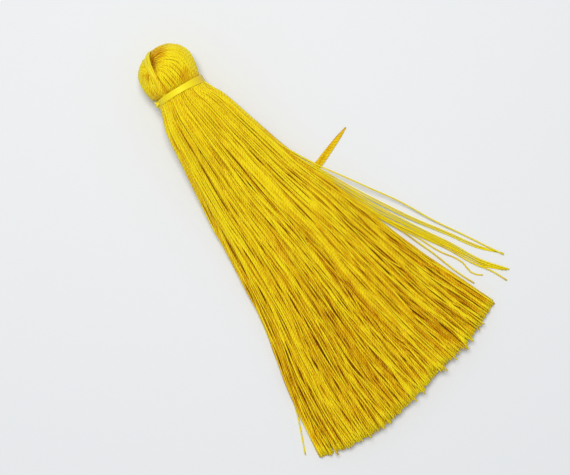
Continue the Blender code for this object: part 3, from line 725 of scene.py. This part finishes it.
def buildStrays():
    rng = np.random.default_rng(strays["seed"])
    routes = []
    at = np.array((0.0, 4, 9, 15, 20))
    for threads, height, under, points in strays["groups"]:
        for number in range(threads):
            edge = onSkirt(at, np.full(5, 0.955), np.full(5, height))
            away = np.array(points, float)
            away[-1, 0] += rng.uniform(-0.9, 0.2)
            aside = (number - (threads - 1) / 2) * strays["spacing"]
            rests = strays["radius"] * (1 + 2 * under)
            high = mix(edge[-1, 2], rests, smooth(away[:, 0], *strays["falls"]))
            routes.append(np.concatenate([edge, np.stack([
                neckMiddle[0] + away[:, 0], neckMiddle[1] + away[:, 1] + aside, high], -1)]))
    lone = np.array(strays["lone"])
    at = np.array((0.0, 4, 9, 15, 24, 36))
    routes.append(np.concatenate([
        onSkirt(at, np.full(6, -0.975), np.full(6, 0.4)),
        np.stack([neckMiddle[0] + lone[:, 0], neckMiddle[1] + lone[:, 1],
                  np.array((1.0, 0.6, 0.4, 0.3, 0.22, 0.16))], -1)]))
    paths = []
    for route in routes:  # smooth paths through the routes, evenly spaced in length
        length = np.concatenate([[0], np.cumsum(np.linalg.norm(np.diff(route, axis=0), axis=1))])
        paths.append(curveThrough(np.linspace(0, length[-1], strays["rings"]), length, route))
    paths = np.array(paths)
    run = paths[..., 0] - neckMiddle[0]
    paths[..., 1] += 0.07 * ripple(rng, run, 8, 30) * smooth(run, 25, 60)
    paths[..., 2] = np.maximum(paths[..., 2], strays["radius"])
    shade = -0.06 + 0.02 * smooth(run, 30, 70)
    tint = rng.uniform(-1, 0.2, len(paths))
    swept = sweep(paths, up, strays["radius"], strays["radius"], 6, shade, tint)
    addPiece("strayThreads", swept, twistedSilk, "thread_bundle")


buildStrays()


# the flat lock at the right

sideLock = dict(
    points=[  # distance, across, height, half width
        (0.8, 3.6, 3.8, 0.3), (4.5, 4.6, 1.9, 0.4), (9.5, 5.3, 0.6, 0.5), (17.0, 6.0, 0.22, 0.6),
        (23.5, 6.6, 0.2, 0.62), (27.0, 7.6, 0.2, 0.62), (28.7, 9.8, 0.2, 0.62), (28.3, 12.6, 0.2, 0.6),
        (27.5, 15.6, 0.2, 0.5), (26.7, 18.6, 0.2, 0.32), (25.9, 21.6, 0.18, 0.07)],
    threads=5, radius=0.19, rings=60, seed=41, shade=0.20, tints=0.5,
)


def buildSideLock():
    # Threads side by side, which draw together at the tip.
    rng = np.random.default_rng(sideLock["seed"])
    rows = np.array(sideLock["points"])
    length = np.concatenate([[0], np.cumsum(np.linalg.norm(np.diff(rows[:, :2], axis=0), axis=1))])
    at = np.linspace(0, length[-1], sideLock["rings"])
    line = curveThrough(at, length, rows)
    spine = np.stack([neckMiddle[0] + line[:, 0], neckMiddle[1] + line[:, 1], line[:, 2]], -1)
    heading = unit(np.gradient(spine, axis=0))
    aside = unit(np.cross(up, heading))
    count = sideLock["threads"]
    place = np.linspace(-1, 1, count)[:, None]
    paths = spine[None] + aside[None] * (place * line[:, 3])[..., None]
    paths[..., 2] += 0.08 * (np.arange(count) % 2)[:, None] * smooth(line[:, 3], 0.1, 0.4)
    paths[..., 2] = np.maximum(paths[..., 2] + 0.02 * ripple(rng, at[None] * np.ones((count, 1)), 3, 9),
                               sideLock["radius"])
    radius = sideLock["radius"] * (0.35 + 0.65 * smooth(line[:, 3], 0.04, 0.3))[None]
    tint = rng.uniform(-sideLock["tints"], sideLock["tints"], count)
    swept = sweep(paths, up, radius, radius, 6, np.full((count, len(at)), sideLock["shade"]), tint)
    addPiece("sideLock", swept, twistedSilk, "thread_bundle")


buildSideLock()


# the floss round the neck and its knot

binding = dict(
    turns=4, halfWidth=0.75, spread=0.40, sharpness=1.5, seat=5.06, thick=0.15, flossHalf=0.235,
    stepsPerTurn=84, sides=16, knotAngle=math.radians(168), knotAlong=0.0, knotSize=(0.22, 0.27, 0.22),
    knotRadius=0.27, knotSteps=72, knotShade=0.12,
    shade=0.08, sideShade=0.36, rightShade=0.24, turnShade=0.06, between=0.4,
)


def buildBinding():
    # One floss in a helix round the neck. On the right its turns lie further apart.
    turns, steps = binding["turns"], binding["turns"] * binding["stepsPerTurn"] + 1
    turned = np.linspace(0, 2 * math.pi * turns, steps)
    angle = turned + math.radians(200)
    half = binding["halfWidth"] + binding["spread"] * np.maximum(np.cos(angle), 0) ** binding["sharpness"]
    half = half * (1 - binding["flossHalf"] / binding["halfWidth"] * 0.85)
    place = 2 * turned / turned[-1] - 1
    along = head["neck"] + half * place
    radius = binding["seat"] + binding["thick"] - 0.03 * np.cos(place * math.pi / 2) + 0 * angle
    radius = radius - 0.25 * (1 - smooth(turned, 0, 0.25))  # both ends tuck in
    radius = radius - 0.25 * smooth(turned, turned[-1] - 0.25, turned[-1])
    local = np.stack([along, radius * np.cos(angle), radius * np.sin(angle)], -1)
    paths = inHead(local)[None]
    ridges = 1 + 0.05 * np.cos(np.arange(binding["sides"]) * math.pi)
    aside = np.cos(angle)  # 1 on the right, -1 on the left
    # Painted shade on the band: darker where it turns sideways, away from the lamp overhead, most on the
    # right; between puts painted shade where the turns touch.
    shade = binding["shade"] + binding["sideShade"] * np.abs(aside) ** 1.5
    shade = shade + binding["rightShade"] * np.maximum(aside, 0) ** 2
    shade = shade + binding["turnShade"] * np.cos(turned * 0.5)
    outward = paths - (middle + axis * along[:, None])[None]
    wound = sweep(paths, outward, binding["flossHalf"], binding["thick"], binding["sides"],
                  shade[None], [0.3], ridges, between=binding["between"])
    # The knot is a small flattened trefoil: each point is the sum of a slow and a fast circle.
    t = np.linspace(0, 2 * math.pi, binding["knotSteps"] + 1)
    outward = across * math.cos(binding["knotAngle"]) + up * math.sin(binding["knotAngle"])
    sideways = np.cross(axis, outward)
    centre = neckMiddle + axis * binding["knotAlong"] + outward * (binding["seat"] + 0.30)
    a, b, c = binding["knotSize"]
    knot = (centre + axis * (a * (np.sin(t) + 1.6 * np.sin(2 * t)))[:, None]
            + sideways * (b * (np.cos(t) - 1.6 * np.cos(2 * t)))[:, None]
            + outward * (-c * np.sin(3 * t))[:, None])
    tied = sweep(knot[None], outward, binding["knotRadius"], binding["knotRadius"] * 0.8, 10,
                 np.full((1, len(t)), binding["knotShade"]), [-0.6])
    addPiece("neckBinding", [wound, tied], smoothFloss, "neck_binding")


buildBinding()


# the flat floss over the head

tie = dict(
    route=[  # degrees from the head's top and round its axis
        (113.5, 130), (107, 127), (99, 123.5), (86, 122), (66, 124), (44, 129.5), (26, 141), (15, 171),
        (24, 222), (45, 238), (70, 243), (95, 243), (113.5, 240)],
    rings=90, strands=5, halfWidth=0.175, thick=0.12, spacing=0.29, sunk=0.06, fades=0.16,
    shade=0.16, wave=0.1, sunkShade=0.35,
)


def buildTie():
    # A few strands side by side, which part a little over the head's top. Each follows a curve through
    # the route, shifted aside along the surface.
    route = np.radians(np.array(tie["route"], float))
    ball = onBall(route[:, 0], route[:, 1])
    first, last = route[0, 1], route[-1, 1]
    neck = [(4.1, 5.17), (4.6, 4.95), (5.3, 4.92)]
    start = [(along, radius * math.cos(first), radius * math.sin(first)) for along, radius in neck[::-1]]
    finish = [(along, radius * math.cos(last), radius * math.sin(last)) for along, radius in neck]
    spine = np.concatenate([start, ball, finish])
    length = np.concatenate([[0], np.cumsum(np.linalg.norm(np.diff(spine, axis=0), axis=1))])
    at = np.linspace(0, length[-1], tie["rings"])
    line = curveThrough(at, length, spine)
    out = unit(line * (1, 1, 1) - (0.4, 0, 0) * (line[:, :1] > 3))
    aside = unit(np.cross(np.gradient(line, axis=0), out))
    share = at / at[-1]
    onHead = smooth(share, 0.03, 0.08) * (1 - smooth(share, 0.92, 0.97))
    fading = 1 - smooth(share, 0.13, 0.27)  # it sinks between the threads before the neck
    wide = 0.40 + 0.75 * np.exp(-((share - 0.36) / 0.15) ** 2) + 0.15 * smooth(share, 0.5, 0.7)
    paths = []
    for i in range(tie["strands"]):
        place = i - (tie["strands"] - 1) / 2
        shift = place * tie["spacing"] * wide + 0.05 * np.sin(share * 23 + i * 2.1) * onHead
        lift = (0.06 * math.cos(place * 1.3) - 0.02 * place ** 2 - tie["sunk"]) * onHead
        lift = lift - tie["fades"] * fading
        paths.append(inHead(line + aside * shift[:, None] + out * lift[:, None]))
    paths = np.array(paths)
    paths[..., 2] = np.maximum(paths[..., 2], tie["thick"])
    outward = inHead(np.broadcast_to(out, paths.shape)) - middle
    # sunkShade is painted shade where the tie sinks between the head's threads.
    shade = tie["shade"] + tie["wave"] * np.abs(np.sin(share * 7)) + tie["sunkShade"] * fading
    swept = sweep(paths, outward, tie["halfWidth"], tie["thick"], 10,
                  shade[None] * np.ones((tie["strands"], 1)), np.linspace(-1, 1, tie["strands"]))
    addPiece("headTie", swept, smoothFloss, "head_tie")


buildTie()


# floor, light and camera

studio = dict(
    floorColour=(0.70, 0.716, 0.738, 1), worldColour=(0.93, 0.96, 1.0, 1), worldStrength=0.40,
    lampSize=0.24, lampHeight=0.60, lampPower=3.15, lampAside=(-0.12, 0.04), lampColour=(1.0, 0.985, 0.95),
    lens=110.0, distance=348.0, lookAt=(40.57, -2.713, 5.0), roll=math.radians(51.3),
)


def buildStudio():
    half = 3.0
    mesh = bpy.data.meshes.new("floor")
    corners = [(-half, -half, 0), (half, -half, 0), (half, half, 0), (-half, half, 0)]
    mesh.from_pydata(corners, [], [(0, 1, 2, 3)])
    nodes = Nodes("paleFloor")
    where = nodes.value("ShaderNodeTexCoord", None, None, "Object")
    grain = nodes.value("ShaderNodeTexNoise", None,
                        {"Vector": where, "Scale": 60.0, "Detail": 3.0}, "Fac")
    mesh.materials.append(nodes.finish(**{
        "Base Color": studio["floorColour"], "Roughness": 0.55 + (grain - 0.5) * 0.06,
        "Specular IOR Level": 0.2}))
    floor = bpy.data.objects.new("floor", mesh)
    bpy.context.scene.collection.objects.link(floor)

    world = bpy.data.worlds.new("studio")
    world.use_nodes = True
    background = world.node_tree.nodes["Background"]
    background.inputs["Color"].default_value = studio["worldColour"]
    background.inputs["Strength"].default_value = studio["worldStrength"]
    bpy.context.scene.world = world

    lamp = bpy.data.lights.new("softLamp", "AREA")
    lamp.shape, lamp.size = "DISK", studio["lampSize"]
    lamp.energy, lamp.color = studio["lampPower"], studio["lampColour"]
    lampObject = bpy.data.objects.new("softLamp", lamp)
    target = np.array(studio["lookAt"]) * mm
    place = target + np.array((*studio["lampAside"], studio["lampHeight"]))
    aim = target - place
    lampObject.location = place
    tilt, turn = math.acos(-aim[2] / np.linalg.norm(aim)), math.atan2(aim[1], aim[0])
    lampObject.rotation_euler = (tilt, 0, turn - math.pi / 2)
    bpy.context.scene.collection.objects.link(lampObject)

    camera = bpy.data.cameras.new("camera")
    camera.lens, camera.sensor_width = studio["lens"], 36.0
    camera.clip_start, camera.clip_end = 0.01, 20.0
    cameraObject = bpy.data.objects.new("camera", camera)
    cameraObject.location = (target[0], target[1], target[2] + studio["distance"] * mm)
    cameraObject.rotation_euler = (0, 0, studio["roll"])
    bpy.context.scene.collection.objects.link(cameraObject)
    bpy.context.scene.camera = cameraObject
    bpy.context.scene.view_settings.view_transform = "Standard"


buildStudio()
print("studio built")
